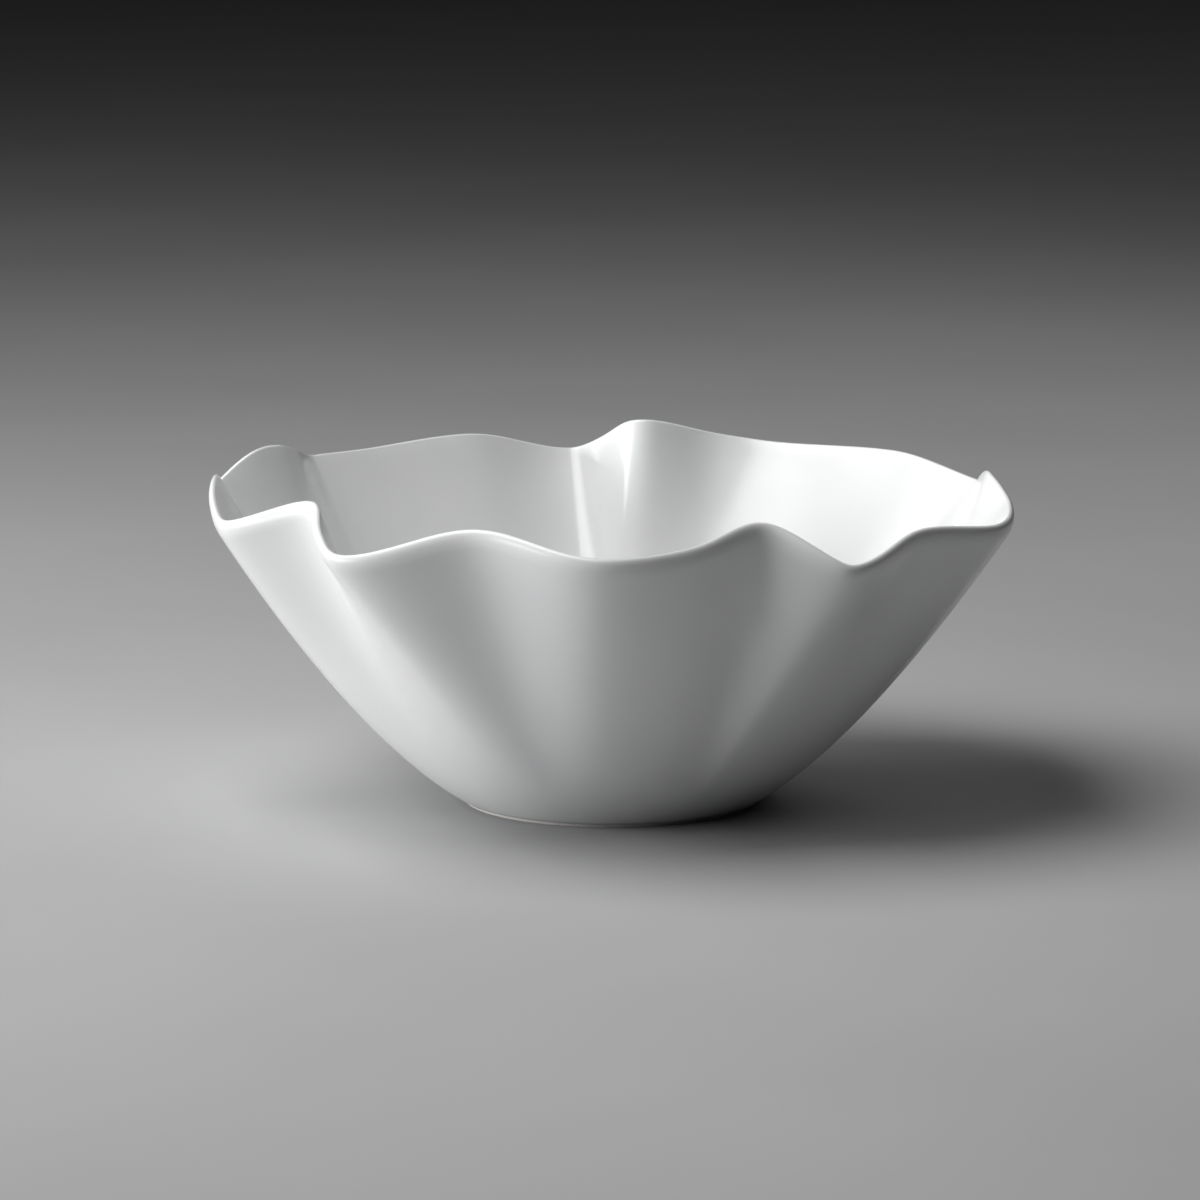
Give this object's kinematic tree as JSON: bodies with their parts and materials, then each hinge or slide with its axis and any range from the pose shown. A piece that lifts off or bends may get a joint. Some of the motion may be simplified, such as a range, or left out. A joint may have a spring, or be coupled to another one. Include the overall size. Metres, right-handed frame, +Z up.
{
  "type": "serving bowl",
  "caption": "Wide ruffled porcelain serving bowl with a drawn-in wavy rim, flared wall, white gloss glaze and a bare foot ring.",
  "frame": {"origin": "centre of the foot ring, in the plane that the bowl stands on", "axes": "+Z up along the bowl's axis, -Y towards the front, +X to the right seen from the front"},
  "size_m": [0.3485, 0.3552, 0.1483],
  "materials": {
    "fired_porcelain": "matt fired porcelain, hidden under the glaze",
    "white_glaze": "smooth gloss white glaze",
    "bare_porcelain": "unglazed, ground smooth and matt"
  },
  "bodies": {
    "root": {"porcelain_body": "fired_porcelain", "glaze_coat": "white_glaze", "foot_ring": "bare_porcelain", "underside_glaze": "white_glaze"}
  },
  "joints": []
}
